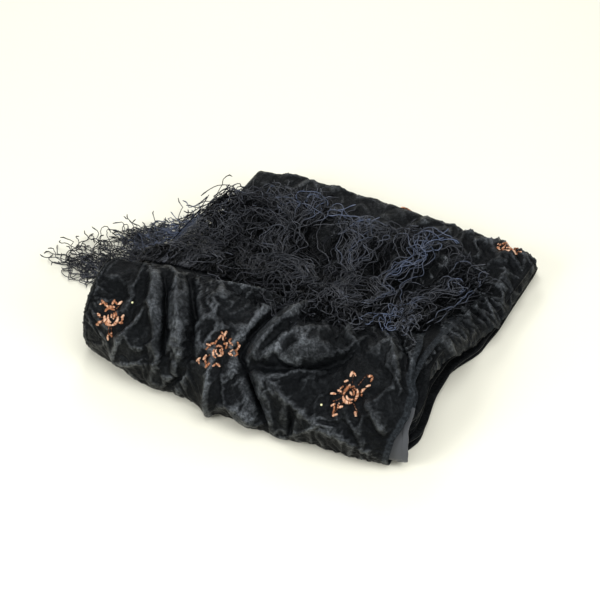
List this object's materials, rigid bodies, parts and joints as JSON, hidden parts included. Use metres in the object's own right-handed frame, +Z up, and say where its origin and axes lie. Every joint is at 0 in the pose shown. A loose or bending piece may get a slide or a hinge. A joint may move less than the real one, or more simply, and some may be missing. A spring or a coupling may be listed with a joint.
{
  "type": "folded evening stole",
  "caption": "Folded evening stole of crushed dark velvet: a thick front turn over a flat stack, its end hem edged with long curly fringe that lies back and spills over the left side.",
  "frame": {"origin": "on the surface the stole lies on, under the middle of its whole box, the spilled fringe included", "axes": "+Z up; +X along the folds, from the lengthwise fold and the spilled fringe to the hems; +Y from the thick front turn to the back fold"},
  "size_m": [0.4526, 0.3322, 0.0844],
  "materials": {
    "velvet": "crushed silk velvet, near black with a slight blue, the pile pressed flat in patches that shine",
    "velvet_wrong_side": "smooth woven wrong side of the velvet, dark grey and matt",
    "fringe_yarn": "soft twisted charcoal navy rayon yarn, kinked, with a low sheen"
  },
  "bodies": {
    "root": {"hidden_layers": "velvet", "back_stretch": "velvet", "front_under_ply": "velvet_wrong_side", "front_upper_ply": "velvet", "fringe": "fringe_yarn"}
  },
  "joints": []
}
